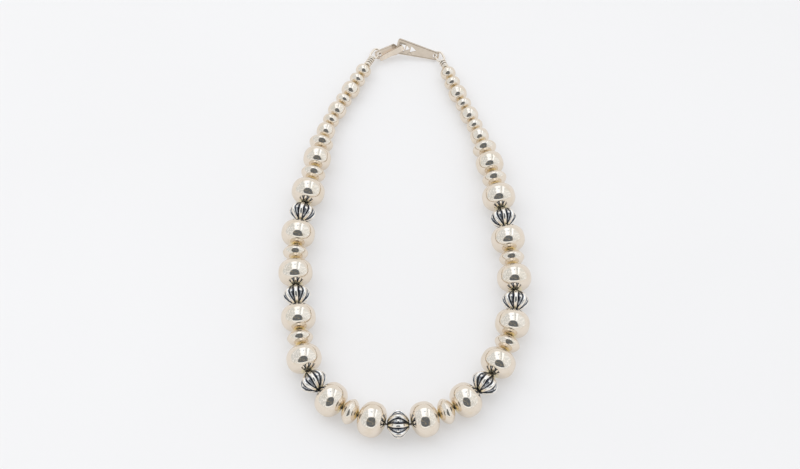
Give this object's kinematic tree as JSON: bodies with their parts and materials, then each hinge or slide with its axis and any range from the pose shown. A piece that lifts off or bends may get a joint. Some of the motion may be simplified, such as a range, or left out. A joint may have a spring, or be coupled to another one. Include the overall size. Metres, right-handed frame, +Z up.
{
  "type": "silver bead necklace",
  "caption": "Necklace of graduated round, saucer and fluted silver beads on a thread, with wire-wrapped ends and a pierced sheet-silver hook and eye, lying closed in an egg shape.",
  "frame": {"origin": "centre of the necklace's box on the surface that it lies on", "axes": "+Y from the centre bead to the clasp, +X to the right arm with the clasp at the back, +Z up from the surface"},
  "size_m": [0.1104, 0.1988, 0.015],
  "materials": {
    "bead_silver": "polished warm silver with fine wear",
    "fluted_silver": "polished ribs over blackened grooves",
    "wire_silver": "polished wire, darker between the turns",
    "clasp_silver": "satin sheet with fine scratches and warm tarnish",
    "thread_cable": "twisted silver cable, dulled"
  },
  "bodies": {
    "root": {"fluted_centre": "fluted_silver", "large_left_1": "bead_silver", "large_left_2": "bead_silver", "large_left_3": "bead_silver", "large_left_4": "bead_silver", "large_left_5": "bead_silver", "large_left_6": "bead_silver", "large_left_7": "bead_silver", "saucer_left_1": "bead_silver", "saucer_left_2": "bead_silver", "saucer_left_3": "bead_silver", "saucer_left_4": "bead_silver", "saucer_left_5": "bead_silver", "fluted_left_1": "fluted_silver", "fluted_left_2": "fluted_silver", "fluted_left_3": "fluted_silver", "medium_left_1": "bead_silver", "large_right_1": "bead_silver", "large_right_2": "bead_silver", "large_right_3": "bead_silver", "large_right_4": "bead_silver", "large_right_5": "bead_silver", "large_right_6": "bead_silver", "large_right_7": "bead_silver", "saucer_right_1": "bead_silver", "saucer_right_2": "bead_silver", "saucer_right_3": "bead_silver", "saucer_right_4": "bead_silver", "saucer_right_5": "bead_silver", "fluted_right_1": "fluted_silver", "fluted_right_2": "fluted_silver", "fluted_right_3": "fluted_silver", "medium_right_1": "bead_silver", "small_beads_left": "bead_silver", "wire_end_left": "wire_silver", "small_beads_right": "bead_silver", "wire_end_right": "wire_silver", "thread": "thread_cable", "hook_plate": "clasp_silver", "eye_plate": "clasp_silver"}
  },
  "joints": []
}
